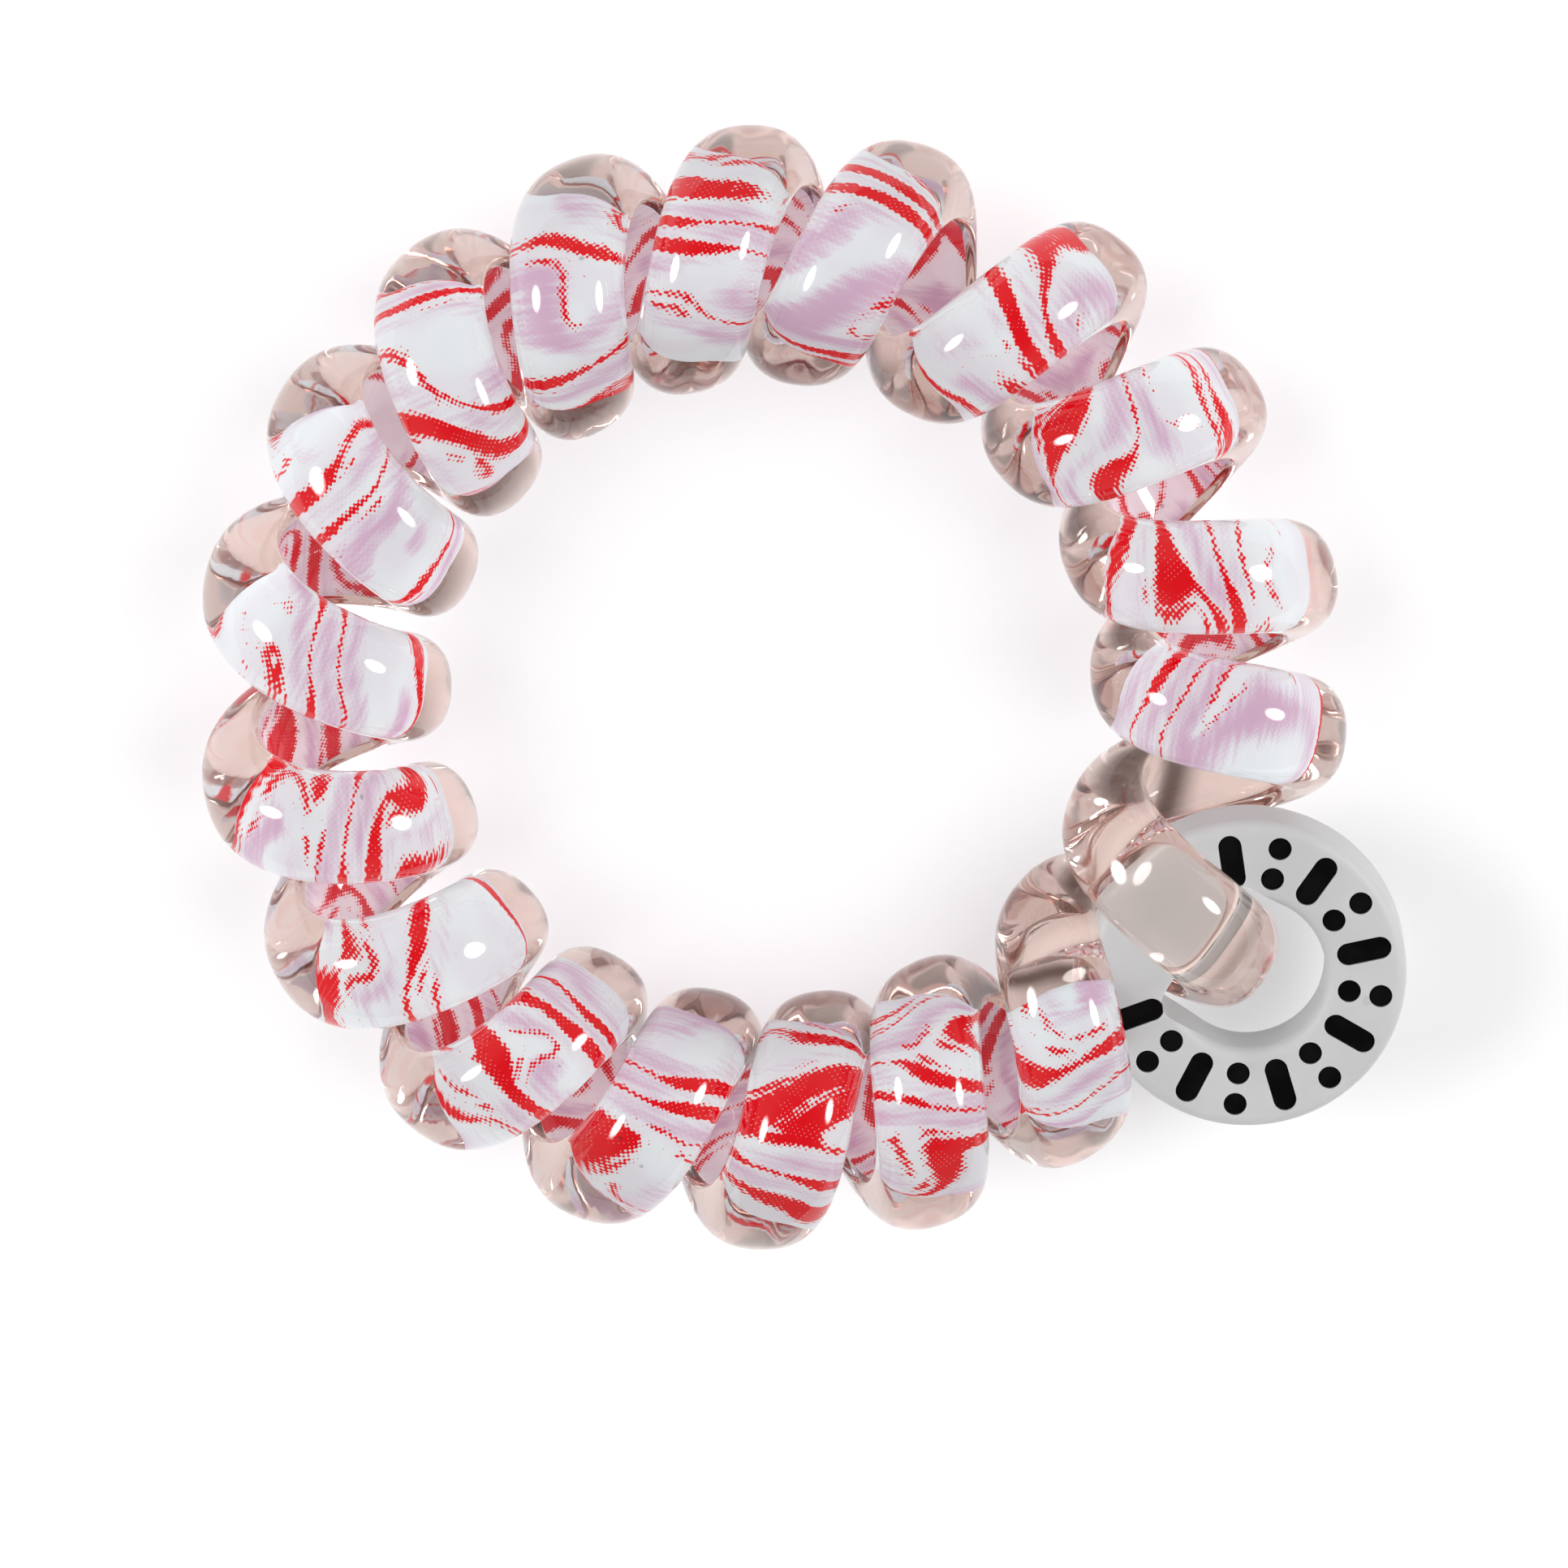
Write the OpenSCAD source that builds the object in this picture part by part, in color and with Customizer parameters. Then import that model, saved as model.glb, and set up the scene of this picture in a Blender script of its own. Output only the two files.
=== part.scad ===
// Spiral hair tie: a clear printed strand wound into a ring of turns,
// with a white tag ring linked round one of the turns.

/* [Coil] */
// Outer diameter of one turn of the strand
coil_od = 11.2; // [10.6:0.1:14]
// Gap between neighbouring turns where they lie closest, at the ring's inner side
turn_gap = 0.15; // [0.05:0.05:2]

/* [Strand] */
// Width of the strand across its flat side
strand_w = 5; // [4.7:0.05:5.6]
// Thickness of the strand from its flat side to the top of its dome
strand_t = 2.85; // [2.4:0.05:3]
// Share of its width that the strand loses where it bends tightest
inner_slim = 0.04; // [0.02:0.01:0.12]

/* [Print film] */
// Width of the printed film
film_w = 4; // [2:0.05:4.1]
// Thickness of the printed film
film_t = 0.15; // [0.1:0.01:0.3]
// Gap between the film and the strand's flat side
film_gap = 0.1; // [0.06:0.01:0.14]
// Turns of the coil that stay without film before the tagged turn
film_stop_before = 0.95; // [0.85:0.05:1.5]
// Turns of the coil that stay without film after the tagged turn
film_stop_after = 0.6; // [0.55:0.05:1.5]

/* [Tag ring] */
// Width of the tag ring's band
tag_band = 3.5; // [2.6:0.1:3.7]
// Thickness of the tag ring
tag_t = 3.4; // [2.4:0.1:3.6]
// Radius on the edges of the tag ring
tag_round = 0.5; // [0.3:0.05:0.7]
// Gap between the tag ring and the strand that it is linked to
tag_clear = 0.12; // [0.08:0.01:0.25]
// Radius in the inner corners of the tag ring's hole
hole_corner = 0.8; // [0.4:0.1:1.2]

/* [Tag marks] */
// Number of marks round the tag ring, a bar and a pair of dots by turns
mark_count = 13; // [3:2:15]
// Angle from one mark to the next
mark_step = 21.5; // [18:0.5:22]
// Width of a bar and diameter of a dot
mark_w = 0.95; // [0.6:0.05:1]
// Margin between a mark and the rounded edge of the tag ring
mark_margin = 0.08; // [0.05:0.01:0.2]
// Depth of the pockets that hold the marks
pocket_depth = 0.4; // [0.2:0.05:0.8]
// Depth of a mark's face below the face of the tag ring
mark_sink = 0.08; // [0.02:0.01:0.12]
// Gap between a mark and its pocket
mark_gap = 0.03; // [0.02:0.01:0.06]

/* [Hidden] */

// Angles round the ring, in degrees clockwise from +Y seen from above.
// Each row is one turn: where it passes the ring's outer side, and where
// it then passes the inner side. The turns aren't evenly spaced.
OUTER = 0;
INNER = 1;
turn_rows = [
  [-100.3, -89.2],
  [-78, -68.7],
  [-57.6, -50.1],
  [-39, -31.8],
  [-20.9, -13.7],
  [-3, 4.4],
  [14.2, 24.8],
  [36.2, 46],
  [56, 67],
  [77.2, 87.2],
  [94.9, 111.2],
  [120.7, 130.2],
  [146.5, 154.6],
  [163.7, 172.8],
  [182, 191.2],
  [200.4, 209.8],
  [219.3, 229.2],
  [239.4, 249.5]
];
turns = len(turn_rows);
tag_turn = 11;

// The strand's section, as shares of its width and thickness:
// across from the middle, and out from the flat side. The first row is
// the line that the film's edge lies along.
ACROSS = 0;
OUT = 1;
half_section = [
  [film_w / 2 / strand_w, 0],
  [0.43, 0],
  [0.5, 0.2],
  [0.475, 0.52],
  [0.36, 0.82],
  [0.15, 1]
];
WIDEST = 2;
section = concat(
  [for (i = [len(half_section) - 1:-1:0]) half_section[i]],
  [for (p = half_section) [-p[ACROSS], p[OUT]]]
);

// The film's rounded end: its share of the full width at the tip and at
// the strand's next rings.
film_end = [0.55, 0.92];

rings_per_turn = 20;
rings = rings_per_turn * turns;
slope_step = 0.01;
round_fn = 96;
small_fn = 32;

mid_z = coil_od / 2;
flat_r = coil_od / 2 - strand_t;
wide_r = flat_r + half_section[WIDEST][OUT] * strand_t;
belly_r = flat_r + strand_t / 2;

// The ring's radius follows from the turns that lie side by side on its
// inner side, where the closest pair leaves turn_gap between them.
inner_step = min([
  for (i = [0:turns - 1])
    turn_rows[(i + 1) % turns][INNER] - turn_rows[i][INNER] + (i == turns - 1 ? 360 : 0)
]);
packed_w = strand_w * (1 - inner_slim) + turn_gap;
packed_arc = packed_w / sqrt(1 - pow(packed_w / (2 * PI * wide_r), 2));
ring_r = packed_arc / (inner_step * PI / 180) + wide_r;

// Angle round the ring at any number of turns, as a smooth curve through
// the outer and inner sides of the rows.
function side_angle(j) =
  let (n = 2 * turns, lap = floor(j / n), k = j - lap * n)
  turn_rows[floor(k / 2)][k % 2] + 360 * lap;
function ring_angle(u) =
  let (
    s = 2 * u, j = floor(s), f = s - j,
    a = side_angle(j - 1), b = side_angle(j), c = side_angle(j + 1), d = side_angle(j + 2)
  )
  b + f * ((c - a) / 2 + f * (a - 2.5 * b + 2 * c - d / 2 + f * (1.5 * (b - c) + (d - a) / 2)));
function ring_slope(u) = (ring_angle(u + slope_step) - ring_angle(u - slope_step)) / (2 * slope_step);

function radial(t) = [sin(t), cos(t), 0];
function along(t) = [cos(t), -sin(t), 0];
function out_dir(u, t) = cos(360 * u) * radial(t) - [0, 0, sin(360 * u)];
function turn_dir(u, t) = -sin(360 * u) * radial(t) - [0, 0, cos(360 * u)];
function unit(v) = v / norm(v);

// A point of the strand at u turns, as across and out lengths from the
// middle of its flat side.
function strand_point(u, across, out) =
  let (
    t = ring_angle(u),
    o = out_dir(u, t),
    travel = ring_slope(u) * PI / 180 * (ring_r + belly_r * cos(360 * u)) * along(t)
             + 2 * PI * belly_r * turn_dir(u, t),
    slim = 1 - inner_slim * (1 - cos(360 * u)) / 2
  )
  ring_r * radial(t) + [0, 0, mid_z] + (flat_r + out) * o + across * slim * unit(cross(travel, o));

strand_points = [
  for (k = [0:rings - 1], p = section)
    strand_point(k / rings_per_turn, p[ACROSS] * strand_w, p[OUT] * strand_t)
];

// Tag ring, in its own frame: +X points outwards along the ring's radius.
// Its hole clears the strand, which leans across it, over the whole
// thickness of the tag, and its inner bar lies in the coil's hollow.
tag_angle = turn_rows[tag_turn][OUTER];
tag_arc = (turn_rows[tag_turn][INNER] - turn_rows[tag_turn - 1][INNER]) * PI / 180 * (ring_r + belly_r);
tag_lean = atan(tag_arc / (2 * PI * belly_r));
tag_hole_r = strand_w / 2 / cos(tag_lean) + tag_arc * asin(tag_t / 2 / wide_r) / 360 + tag_clear;
tag_outer_r = tag_hole_r + tag_band;
bore_r = flat_r * cos(180 / rings_per_turn) - tag_clear;
bar_inner = ring_r - sqrt(pow(bore_r - tag_round, 2) - pow(tag_t / 2 - tag_round, 2)) - tag_round;
bar_outer = ring_r + sqrt(pow(bore_r, 2) - pow(tag_t / 2, 2));
tag_r = bar_inner + tag_outer_r;
tag_centre = tag_r * radial(tag_angle) + [0, 0, mid_z];

// The origin lies under the middle of the whole tie, on the surface.
function span_middle(axis, near, far) =
  (min([near, for (p = strand_points) p[axis]]) + max([far, for (p = strand_points) p[axis]])) / 2;
to_origin = -[
  span_middle(0, tag_centre[0] - tag_outer_r, tag_centre[0] + tag_outer_r),
  span_middle(1, tag_centre[1] - tag_outer_r, tag_centre[1] + tag_outer_r),
  0
];

// Triangles between rows of points. One side can be split along its other
// diagonal, so that both faces of the film lie parallel to the strand.
function band_faces(rows, sides, closed, other_side = -1) = [
  for (k = [0:rows - (closed ? 1 : 2)], i = [0:sides - 1])
    let (
      a = k * sides + i, b = k * sides + (i + 1) % sides,
      c = (k + 1) % rows * sides + (i + 1) % sides, d = (k + 1) % rows * sides + i
    )
    each (i == other_side ? [[a, d, b], [b, d, c]] : [[a, c, b], [a, d, c]])
];

module clear_strand() {
  color([0.93, 0.88, 0.88, 0.6])
    translate(to_origin)
      polyhedron(strand_points, band_faces(rings, len(section), true), convexity = 10);
}

// The film has its rows at the strand's own rings, so the gap between
// them is the same all along.
film_from = ceil((tag_turn + film_stop_after) * rings_per_turn);
film_to = floor((tag_turn + turns - film_stop_before) * rings_per_turn);
film_rows = film_to - film_from + 1;
function film_share(row) =
  let (k = min(row, film_rows - 1 - row)) k < len(film_end) ? film_end[k] : 1;
film_section = [[1, 0], [-1, 0], [-1, 1], [1, 1]];
NEAR_SIDE = 2;
film_points = [
  for (row = [0:film_rows - 1], c = film_section)
    strand_point(
      (film_from + row) / rings_per_turn,
      c[ACROSS] * film_share(row) * film_w / 2,
      -film_gap - film_t * (1 - c[OUT])
    )
];
film_last = len(film_points) - len(film_section);

module print_film() {
  color([0.93, 0.72, 0.78])
    translate(to_origin)
      polyhedron(
        film_points,
        concat(
          band_faces(film_rows, len(film_section), false, NEAR_SIDE),
          [[0, 1, 2], [0, 2, 3]],
          [for (f = [[0, 2, 1], [0, 3, 2]]) [for (i = f) film_last + i]]
        ),
        convexity = 10
      );
}

module place_on_tag() {
  translate(to_origin + tag_centre) rotate([0, 0, 90 - tag_angle]) children();
}

module rounded_band() {
  rotate_extrude($fn = round_fn) {
    translate([tag_hole_r + tag_round, -tag_t / 2]) square([tag_band - 2 * tag_round, tag_t]);
    translate([tag_hole_r, tag_round - tag_t / 2]) square([tag_band, tag_t - 2 * tag_round]);
    for (x = [tag_hole_r + tag_round, tag_outer_r - tag_round], y = [-1, 1])
      translate([x, y * (tag_t / 2 - tag_round)]) circle(tag_round, $fn = small_fn);
  }
}

// The tag's inner side is a bar that lies inside the coil, so the round
// hole runs on to it with straight sides.
module strand_slot() {
  reach = tag_r - bar_outer;
  translate([0, 0, -tag_t]) linear_extrude(2 * tag_t) {
    translate([-reach + hole_corner, -tag_hole_r]) square([reach - hole_corner, 2 * tag_hole_r]);
    translate([-reach, hole_corner - tag_hole_r]) square([reach, 2 * (tag_hole_r - hole_corner)]);
    for (y = [-1, 1])
      translate([-reach + hole_corner, y * (tag_hole_r - hole_corner)]) circle(hole_corner, $fn = small_fn);
  }
}

module inner_bar() {
  intersection() {
    translate([0, 0, -tag_t / 2]) cylinder(h = tag_t, r = tag_hole_r + tag_round, $fn = round_fn);
    translate([-tag_outer_r, -tag_outer_r, -tag_t / 2])
      cube([tag_outer_r - (tag_r - bar_outer), 2 * tag_outer_r, tag_t]);
  }
}

// One mark in the band's face: a bar along the radius or a pair of dots,
// grown all round by grow.
module mark_shape(is_bar, grow) {
  d = mark_w + 2 * grow;
  half_l = tag_band / 2 - tag_round - mark_margin - mark_w / 2;
  for (x = [-half_l, half_l]) translate([x, 0]) circle(d = d, $fn = small_fn);
  if (is_bar) translate([-half_l, -d / 2]) square([2 * half_l, d]);
}

module each_mark(low, high, grow) {
  for (i = [0:mark_count - 1])
    rotate([0, 0, (i - (mark_count - 1) / 2) * mark_step])
      translate([tag_hole_r + tag_band / 2, 0, low])
        linear_extrude(high - low) mark_shape(i % 2 == 0, grow);
}

module tag_ring() {
  color([0.86, 0.86, 0.87])
    place_on_tag()
      difference() {
        union() {
          rounded_band();
          inner_bar();
        }
        strand_slot();
        each_mark(tag_t / 2 - pocket_depth, tag_t, mark_gap);
      }
}

module tag_marks() {
  color([0.05, 0.05, 0.05])
    place_on_tag()
      each_mark(tag_t / 2 - pocket_depth + mark_gap, tag_t / 2 - mark_sink, 0);
}

clear_strand();
print_film();
tag_ring();
tag_marks();
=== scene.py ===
"""A spiral hair tie on a pale floor.

A clear strand with a red swirl print on a film inside it is wound into an endless
ring, and a white tag ring with black marks is linked round one of its turns.
"""
import logging
import math
from collections.abc import Callable
from dataclasses import dataclass, field
from enum import Enum

import bpy
import numpy as np
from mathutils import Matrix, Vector


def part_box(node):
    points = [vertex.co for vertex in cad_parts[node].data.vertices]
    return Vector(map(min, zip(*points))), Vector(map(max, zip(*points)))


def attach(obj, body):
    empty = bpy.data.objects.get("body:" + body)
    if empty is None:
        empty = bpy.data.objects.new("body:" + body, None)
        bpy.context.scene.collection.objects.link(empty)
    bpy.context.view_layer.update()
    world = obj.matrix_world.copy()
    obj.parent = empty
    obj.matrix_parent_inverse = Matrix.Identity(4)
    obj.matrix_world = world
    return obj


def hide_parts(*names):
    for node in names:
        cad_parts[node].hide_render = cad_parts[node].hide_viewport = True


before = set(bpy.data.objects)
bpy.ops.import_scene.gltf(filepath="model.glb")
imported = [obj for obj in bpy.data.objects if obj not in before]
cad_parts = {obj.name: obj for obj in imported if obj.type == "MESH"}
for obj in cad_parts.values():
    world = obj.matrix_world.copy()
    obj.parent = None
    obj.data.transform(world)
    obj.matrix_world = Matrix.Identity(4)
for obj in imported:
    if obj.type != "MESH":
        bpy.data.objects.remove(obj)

log = logging.getLogger("hair_tie")
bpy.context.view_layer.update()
MM = 0.001

Colour = tuple[float, float, float, float]
Triple = tuple[float, float, float]
Pair = tuple[float, float]
Ramp = tuple[float, float, float, float]
Input = float | tuple | bpy.types.NodeSocket
Socket = bpy.types.NodeSocket

# Degrees clockwise from +Y: where each turn passes the ring's outer side, then its inner side.
TURN_ROWS = (
    (-100.3, -89.2), (-78.0, -68.7), (-57.6, -50.1), (-39.0, -31.8), (-20.9, -13.7), (-3.0, 4.4),
    (14.2, 24.8), (36.2, 46.0), (56.0, 67.0), (77.2, 87.2), (94.9, 111.2), (120.7, 130.2),
    (146.5, 154.6), (163.7, 172.8), (182.0, 191.2), (200.4, 209.8), (219.3, 229.2), (239.4, 249.5),
)


class Facing(Enum):
    """The side of the print film that a finish is for."""

    DOME = "dome"
    HOLLOW = "hollow"


class Side(Enum):
    """The side of the camera that a light box stands on."""

    LEFT = -1
    RIGHT = 1


@dataclass(frozen=True)
class Shades:
    """Linear colours, each as red, green, blue and 1.

    Light that goes straight through the strand is tinted faint, or caught where it
    has been bent too often, and light through the film is tinted passed. The film's
    ground as the hollow shows it is painted lighter, as painted light. The floor as
    bent rays see it is painted darker and warmer, as painted shade, and darker still
    in a ring under the coil, as a painted shadow. Warm tints the surroundings in
    every reflection.
    """

    clear: Colour = (0.935, 0.85, 0.81, 1.0)
    faint: Colour = (0.985, 0.98, 0.98, 1.0)
    caught: Colour = (0.72, 0.52, 0.47, 1.0)
    ground: Colour = (0.81, 0.94, 0.97, 1.0)
    # painted light: a lighter film ground for the hollow face, where little light reaches
    reverse: Colour = (1.0, 0.96, 1.0, 1.0)
    lilac: Colour = (0.67, 0.41, 0.62, 1.0)
    red: Colour = (0.80, 0.002, 0.012, 1.0)
    # pink tint of the hollow face: partly the print seen from behind through the film, partly a painted pink
    # reflection
    blush: Colour = (1.0, 0.60, 0.69, 1.0)
    passed: Colour = (0.56, 0.56, 0.57, 1.0)
    tag: Colour = (0.46, 0.46, 0.465, 1.0)
    tag_worn: Colour = (0.70, 0.69, 0.68, 1.0)
    tag_speck: Colour = (0.3, 0.28, 0.27, 1.0)
    ink: Colour = (0.002, 0.002, 0.002, 1.0)
    ink_worn: Colour = (0.006, 0.006, 0.006, 1.0)
    floor: Colour = (0.93, 0.93, 0.93, 1.0)
    floor_fibre: Colour = (0.92, 0.92, 0.92, 1.0)
    # painted shade: the floor as bent rays see it, then the painted shadow under the coil
    shaded_table: Colour = (0.76, 0.665, 0.63, 1.0)
    under: Colour = (0.13, 0.09, 0.08, 1.0)
    white: Colour = (1.0, 1.0, 1.0, 1.0)
    warm: Colour = (1.0, 0.79, 0.74, 1.0)


SHADES = Shades()


class Tree:
    """Adds shader nodes to one node tree, each with its inputs set or linked."""

    def __init__(self, tree: bpy.types.NodeTree) -> None:
        """Keeps the tree to add to."""
        self.tree = tree

    def add(self, kind: str, inputs: dict | None = None, **settings) -> bpy.types.Node:
        """Adds one node.

        Args:
            kind: The node's Blender type.
            inputs: Values or sockets for its inputs, by their names or numbers.
            **settings: The node's own properties.

        Returns:
            The new node.
        """
        node = self.tree.nodes.new(kind)
        for name, value in settings.items():
            setattr(node, name, value)
        for key, value in (inputs or {}).items():
            if isinstance(value, Socket):
                self.tree.links.new(value, node.inputs[key])
            else:
                node.inputs[key].default_value = value
        return node

    def math(self, operation: str, *values: Input, clamp: bool = False) -> Socket:
        """Returns the result of a Math node on one to three numbers or sockets."""
        return self.add("ShaderNodeMath", dict(enumerate(values)), operation=operation, use_clamp=clamp).outputs[0]

    def total(self, first: Input, *rest: Input) -> Socket:
        """Returns the sum of two or more numbers or sockets.

        Args:
            first: The first of them.
            *rest: The others, added one after another.

        Returns:
            The sum's socket.
        """
        for value in rest:
            first = self.math("ADD", first, value)
        return first

    def times(self, first: Input, second: Input) -> Socket:
        """Returns the product of two numbers or sockets."""
        return self.math("MULTIPLY", first, second)

    def vector(self, operation: str, *values: Input) -> Socket:
        """Returns the vector result of a Vector Math node."""
        return self.add("ShaderNodeVectorMath", dict(enumerate(values)), operation=operation).outputs[0]

    def measure(self, operation: str, first: Input, second: Input) -> Socket:
        """Returns the plain number, such as a distance, of a Vector Math node on two vectors."""
        return self.add("ShaderNodeVectorMath", {0: first, 1: second}, operation=operation).outputs["Value"]

    def step(self, value: Input, low: float, high: float, start: float = 0.0, end: float = 1.0) -> Socket:
        """Returns a smooth step of value from start, at low, to end, at high."""
        inputs = {0: value, 1: low, 2: high, 3: start, 4: end}
        return self.add("ShaderNodeMapRange", inputs, interpolation_type="SMOOTHSTEP").outputs[0]

    def noise(
        self, place: Input, scale: Input, detail: float = 0.0, rough: float = 0.5, space: str = "2D"
    ) -> bpy.types.Node:
        """Adds a Noise texture; output 0 is its value and output 1 its colour."""
        inputs = {"Vector": place, "Scale": scale, "Detail": detail, "Roughness": rough}
        return self.add("ShaderNodeTexNoise", inputs, noise_dimensions=space)

    def mix(self, share: Input, first: Input, second: Input) -> Socket:
        """Returns the colour that lies the given share of the way from first to second."""
        return self.add("ShaderNodeMix", {0: share, 6: first, 7: second}, data_type="RGBA").outputs[2]

    def blend(self, share: Input, first: bpy.types.Node, second: bpy.types.Node) -> bpy.types.Node:
        """Adds a Mix Shader that lies the given share of the way from the first shader node to the second."""
        return self.add("ShaderNodeMixShader", {0: share, 1: first.outputs[0], 2: second.outputs[0]})

    def parts(self, place: Input) -> tuple:
        """Returns the x, y and z sockets of a vector."""
        return tuple(self.add("ShaderNodeSeparateXYZ", {0: place}).outputs)

    def bump(self, height: Input, strength: float, distance: float) -> Socket:
        """Returns the normal of a Bump node over a height."""
        return self.add("ShaderNodeBump", {"Height": height, "Strength": strength, "Distance": distance}).outputs[0]

    def join(self, source: Socket, target: Socket) -> None:
        """Links an output socket to an input socket."""
        self.tree.links.new(source, target)


@dataclass(frozen=True)
class SwirlPattern:
    """The printed swirl, worked out in millimetres over the film.

    Its bands follow the contours of a warped field. A band's place is a share of
    the pitch, and a ramp is a smooth step's low, high, start and end.
    """

    pitch: float = 3.3
    shift_scale: float = 0.16
    shift_reach: Triple = (4.2, 3.0, 0.0)
    bend_scale: float = 0.25
    bend_reach: float = 2.15
    probe: float = 0.04
    least_slope: float = 0.09
    spread_limits: Pair = (0.5, 1.8)

    swell_scale: float = 0.33
    swell_origin: Triple = (31.0, 7.0, 0.0)
    fade_scale: float = 0.42
    fade_origin: Triple = (5.0, 61.0, 0.0)
    broad_half: Ramp = (0.28, 0.72, 0.08, 0.6)
    near_at: float = 0.23
    near_half: Ramp = (0.42, 0.62, -0.14, 0.12)
    far_at: float = 0.36
    far_half: Ramp = (0.36, 0.56, 0.06, -0.16)
    crowding: Ramp = (0.40, 0.75, 0.0, 0.3)

    dots: Pair = (0.235, 0.18)
    dot_edge: float = 0.15
    ragged_scale: float = 4.5
    ragged_edge: float = 0.24
    edge_calm: Ramp = (0.3, 0.8, 1.0, 0.5)
    edge_blur: Ramp = (-0.02, 0.03, 0.0, 1.0)
    pin_dots: Ramp = (-0.82, -0.96, 0.0, 1.0)
    pin_scale: float = 1.7
    pin_zones: Ramp = (0.45, 0.51, 0.0, 1.0)
    pin_depth: float = 0.55

    wash_at: float = 0.5
    wash_half: Ramp = (0.64, 0.34, -0.35, 0.42)
    streak_stretch: Triple = (5.5, 0.9, 1.0)
    streak_reach: float = 0.9
    wash_dots: float = 0.1
    wash_blur: Ramp = (-0.5, 0.5, 0.0, 1.0)

    def contours(self, t: Tree, place: Input, away: Triple) -> tuple[Socket, Socket]:
        """Adds the field whose contours the bands follow.

        The place is shifted by a broad noise. The field is the shifted place's
        length along the film over the pitch, plus a noise of that place.

        Args:
            t: The tree to add to.
            place: The point on the film.
            away: A small step from that point.

        Returns:
            The field's value there, and the shifted place.
        """
        there = t.vector("ADD", place, away)
        shift = t.vector("SUBTRACT", t.noise(there, self.shift_scale).outputs[1], (0.5, 0.5, 0.5))
        shifted = t.vector("ADD", there, t.vector("MULTIPLY", shift, self.shift_reach))
        bend = t.noise(shifted, self.bend_scale).outputs[0]
        straight = t.math("DIVIDE", t.parts(shifted)[0], self.pitch)
        return t.total(straight, t.times(bend, self.bend_reach)), shifted

    def slope(self, t: Tree, place: Input, course: Socket) -> Socket:
        """Adds the field's slope, from its rise over two small steps at right angles.

        Args:
            t: The tree to add to.
            place: The point on the film.
            course: The field's value there.

        Returns:
            The slope for each millimetre, held above the least slope.
        """
        steps = ((self.probe, 0.0, 0.0), (0.0, self.probe, 0.0))
        rises = [t.math("SUBTRACT", self.contours(t, place, away)[0], course) for away in steps]
        squares = [t.times(rise, rise) for rise in rises]
        steepness = t.math("DIVIDE", t.math("SQRT", t.total(*squares)), self.probe)
        return t.math("MAXIMUM", steepness, self.least_slope)

    @staticmethod
    def band(t: Tree, course: Socket, slope: Socket, at: float, half_width: Input) -> Socket:
        """Adds how far a point lies inside a band: half its width, less the distance from its middle.

        Args:
            t: The tree to add to.
            course: The field's value.
            slope: The field's slope.
            at: The band's place, as a share of the pitch.
            half_width: Half the band's width.

        Returns:
            The depth inside the band in millimetres, below 0 outside it.
        """
        share = t.math("FRACT", t.total(course, at))
        away = t.math("DIVIDE", t.math("ABSOLUTE", t.math("SUBTRACT", share, 0.5)), slope)
        return t.math("SUBTRACT", half_width, away)

    def masks(self, t: Tree, place: Input, screen: Socket) -> tuple[Socket, Socket]:
        """Adds the masks of the red ink and the lilac wash.

        A broad band swells and thins, two fine lines beside it come and go, and
        their edges are scalloped by the halftone screen. The wash lies between
        the broad bands and is streaked across the film.

        Args:
            t: The tree to add to.
            place: The point on the film.
            screen: The halftone screen there.

        Returns:
            The share of red and the share of lilac.
        """
        course, shifted = self.contours(t, place, (0.0, 0.0, 0.0))
        slope = self.slope(t, place, course)
        least, most = self.spread_limits
        spread = t.math("MAXIMUM", t.math("DIVIDE", 1 / self.pitch, slope), least)
        spread = t.math("MINIMUM", spread, most)

        swell = t.noise(t.vector("ADD", shifted, self.swell_origin), self.swell_scale).outputs[0]
        fade = t.noise(t.vector("ADD", place, self.fade_origin), self.fade_scale).outputs[0]
        crowd = t.step(slope, *self.crowding)
        broad = self.band(t, course, slope, 0.0, t.times(t.step(swell, *self.broad_half), spread))
        near, far = (
            self.band(t, course, slope, at, t.math("SUBTRACT", t.step(fade, *half), crowd))
            for at, half in ((self.near_at, self.near_half), (self.far_at, self.far_half))
        )

        ragged = t.math("SUBTRACT", t.noise(place, self.ragged_scale).outputs[0], 0.5)
        edge = t.total(t.times(screen, self.dot_edge), t.times(ragged, self.ragged_edge))
        edge = t.times(edge, t.step(slope, *self.edge_calm))
        inked = [t.step(t.total(line, edge), *self.edge_blur) for line in (broad, near, far)]
        covered = t.math("MAXIMUM", inked[0], t.math("MAXIMUM", inked[1], inked[2]))
        zones = t.step(t.noise(place, self.pin_scale).outputs[0], *self.pin_zones)
        pins = t.times(t.step(screen, *self.pin_dots), zones)
        red = t.math("SUBTRACT", covered, t.times(pins, self.pin_depth), clamp=True)

        streaks = t.noise(t.vector("MULTIPLY", place, self.streak_stretch), 1.0, 1.0).outputs[0]
        streaks = t.times(t.math("SUBTRACT", streaks, 0.5), self.streak_reach)
        wash = self.band(t, course, slope, self.wash_at, t.times(t.step(swell, *self.wash_half), spread))
        lilac = t.step(t.total(wash, streaks, t.times(screen, self.wash_dots)), *self.wash_blur)
        return red, lilac


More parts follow.
